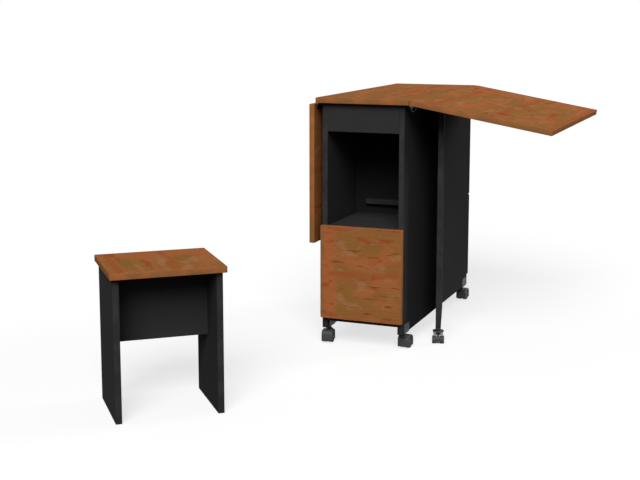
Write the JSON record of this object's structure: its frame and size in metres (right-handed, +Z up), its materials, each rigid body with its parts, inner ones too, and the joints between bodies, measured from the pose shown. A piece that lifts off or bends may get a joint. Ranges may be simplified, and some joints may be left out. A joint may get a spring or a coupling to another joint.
{
  "type": "folding table with stools",
  "caption": "Drop-leaf folding table on casters: a narrow cabinet with an open niche and doors, hinged leaves, a gate that swings under a leaf, and a matching stool.",
  "frame": {"origin": "on the floor, at the middle of the whole object's box, stool included", "axes": "+Z up; +Y along the table's length, away from the niche's open front; +X towards the raised leaf"},
  "size_m": [1.0442, 1.6378, 0.75],
  "materials": {
    "wood_laminate": "satin wood-look laminate",
    "black_laminate": "matt black laminate",
    "caster_plastic": "moulded dark grey",
    "wheel_tread": "moulded grey",
    "hinge_steel": "zinc plated"
  },
  "bodies": {
    "cabinet": {"side_panel_left": "black_laminate", "side_panel_right": "black_laminate", "bottom_board": "black_laminate", "middle_shelf": "black_laminate", "niche_back": "black_laminate", "niche_batten": "black_laminate", "top_rail_front": "black_laminate", "top_rail_rear": "black_laminate", "top_strip": "wood_laminate", "gate_left": "black_laminate", "gate_left_hinge_fixed": "hinge_steel", "gate_left_hinge_swung": "hinge_steel", "gate_right_hinge_fixed": "hinge_steel", "caster_gate_left_mount": "hinge_steel", "front_door_hinge_fixed": "hinge_steel", "rear_lower_door_hinge_fixed": "hinge_steel", "rear_upper_door_hinge_fixed": "hinge_steel", "leaf_left_hinge_front_fixed": "hinge_steel", "leaf_left_hinge_rear_fixed": "hinge_steel", "leaf_right_hinge_front_fixed": "hinge_steel", "leaf_right_hinge_rear_fixed": "hinge_steel", "caster_front_left_mount": "hinge_steel", "caster_front_right_mount": "hinge_steel", "caster_rear_left_mount": "hinge_steel", "caster_rear_right_mount": "hinge_steel"},
    "leaf_left": {"leaf_left": "wood_laminate", "leaf_left_stop_block": "black_laminate", "leaf_left_hinge_front_swung": "hinge_steel", "leaf_left_hinge_rear_swung": "hinge_steel"},
    "leaf_right": {"leaf_right": "wood_laminate", "leaf_right_stop_block": "black_laminate", "leaf_right_hinge_front_swung": "hinge_steel", "leaf_right_hinge_rear_swung": "hinge_steel"},
    "gate_right": {"gate_right": "black_laminate", "gate_right_hinge_swung": "hinge_steel", "caster_gate_right_mount": "hinge_steel"},
    "front_door": {"front_door": "wood_laminate", "front_door_hinge_swung": "hinge_steel"},
    "rear_lower_door": {"rear_lower_door": "wood_laminate", "rear_lower_door_hinge_swung": "hinge_steel"},
    "rear_upper_door": {"rear_upper_door": "wood_laminate", "rear_upper_door_hinge_swung": "hinge_steel"},
    "caster_front_left_swivel": {"caster_front_left_fork": "caster_plastic"},
    "caster_front_left_wheels": {"caster_front_left_wheels": "wheel_tread"},
    "caster_front_right_swivel": {"caster_front_right_fork": "caster_plastic"},
    "caster_front_right_wheels": {"caster_front_right_wheels": "wheel_tread"},
    "caster_rear_left_swivel": {"caster_rear_left_fork": "caster_plastic"},
    "caster_rear_left_wheels": {"caster_rear_left_wheels": "wheel_tread"},
    "caster_rear_right_swivel": {"caster_rear_right_fork": "caster_plastic"},
    "caster_rear_right_wheels": {"caster_rear_right_wheels": "wheel_tread"},
    "caster_gate_left_swivel": {"caster_gate_left_fork": "caster_plastic"},
    "caster_gate_left_wheels": {"caster_gate_left_wheels": "wheel_tread"},
    "caster_gate_right_swivel": {"caster_gate_right_fork": "caster_plastic"},
    "caster_gate_right_wheels": {"caster_gate_right_wheels": "wheel_tread"},
    "stool": {"stool_seat": "wood_laminate", "stool_panel_left": "black_laminate", "stool_panel_right": "black_laminate", "stool_stretcher": "black_laminate"}
  },
  "joints": [
    {"name": "leaf_left_fold", "type": "hinge", "parent": "cabinet", "child": "leaf_left", "pos_m": [-0.18147, 0.43388, 0.7307], "axis": [0, 1, 0], "range_deg": [0, 90]},
    {"name": "gate_right_swing", "type": "hinge", "parent": "cabinet", "child": "gate_right", "pos_m": [0.09258, 0.43388, 0.38175], "axis": [0, 0, 1], "range_deg": [-15, 75]},
    {"name": "leaf_right_fold", "type": "hinge", "parent": "cabinet", "child": "leaf_right", "pos_m": [0.10703, 0.43388, 0.7307], "axis": [0, -1, 0], "range_deg": [-2.1, 10.1]},
    {"name": "front_door_swing", "type": "hinge", "parent": "cabinet", "child": "front_door", "pos_m": [-0.16662, 0.06517, 0.2265], "axis": [0, 0, -1], "range_deg": [0, 90]},
    {"name": "rear_lower_door_swing", "type": "hinge", "parent": "cabinet", "child": "rear_lower_door", "pos_m": [-0.16662, 0.80258, 0.2265], "axis": [0, 0, 1], "range_deg": [0, 90]},
    {"name": "rear_upper_door_swing", "type": "hinge", "parent": "cabinet", "child": "rear_upper_door", "pos_m": [-0.16662, 0.80258, 0.55125], "axis": [0, 0, 1], "range_deg": [0, 90]},
    {"name": "caster_front_left_turn", "type": "hinge", "parent": "cabinet", "child": "caster_front_left_swivel", "pos_m": [-0.15672, 0.10287, 0.0479], "axis": [0, 0, 1], "continuous": true},
    {"name": "caster_front_left_roll", "type": "hinge", "parent": "caster_front_left_swivel", "child": "caster_front_left_wheels", "pos_m": [-0.15477, 0.08901, 0.01834], "axis": [-0.9903, -0.1392, 0], "continuous": true},
    {"name": "caster_front_right_turn", "type": "hinge", "parent": "cabinet", "child": "caster_front_right_swivel", "pos_m": [0.08228, 0.10287, 0.0479], "axis": [0, 0, 1], "continuous": true},
    {"name": "caster_front_right_roll", "type": "hinge", "parent": "caster_front_right_swivel", "child": "caster_front_right_wheels", "pos_m": [0.08374, 0.1168, 0.01834], "axis": [0.9945, -0.1045, 0], "continuous": true},
    {"name": "caster_rear_left_turn", "type": "hinge", "parent": "cabinet", "child": "caster_rear_left_swivel", "pos_m": [-0.15672, 0.76487, 0.0479], "axis": [0, 0, 1], "continuous": true},
    {"name": "caster_rear_left_roll", "type": "hinge", "parent": "caster_rear_left_swivel", "child": "caster_rear_left_wheels", "pos_m": [-0.15963, 0.77857, 0.01834], "axis": [0.9781, 0.2079, 0], "continuous": true},
    {"name": "caster_rear_right_turn", "type": "hinge", "parent": "cabinet", "child": "caster_rear_right_swivel", "pos_m": [0.08228, 0.76487, 0.0479], "axis": [0, 0, 1], "continuous": true},
    {"name": "caster_rear_right_roll", "type": "hinge", "parent": "caster_rear_right_swivel", "child": "caster_rear_right_wheels", "pos_m": [0.08301, 0.77886, 0.01834], "axis": [0.9986, -0.0523, 0], "continuous": true},
    {"name": "caster_gate_left_turn", "type": "hinge", "parent": "cabinet", "child": "caster_gate_left_swivel", "pos_m": [-0.17322, 0.67617, 0.0479], "axis": [0, 0, 1], "continuous": true},
    {"name": "caster_gate_left_roll", "type": "hinge", "parent": "caster_gate_left_swivel", "child": "caster_gate_left_wheels", "pos_m": [-0.17048, 0.66866, 0.01239], "axis": [-0.9397, -0.342, 0], "continuous": true},
    {"name": "caster_gate_right_turn", "type": "hinge", "parent": "gate_right", "child": "caster_gate_right_swivel", "pos_m": [0.16128, 0.20144, 0.0479], "axis": [0, 0, 1], "continuous": true},
    {"name": "caster_gate_right_roll", "type": "hinge", "parent": "caster_gate_right_swivel", "child": "caster_gate_right_wheels", "pos_m": [0.16349, 0.19375, 0.01239], "axis": [-0.9613, -0.2756, 0], "continuous": true},
    {"name": "stool_lift", "type": "slide", "parent": "cabinet", "child": "stool", "axis": [0, 0, 1], "range_m": [0, 0.45]}
  ],
  "couplings": [
    {"joint": "leaf_right_fold", "follows": "gate_right_swing", "ratio": 0.13333}
  ]
}
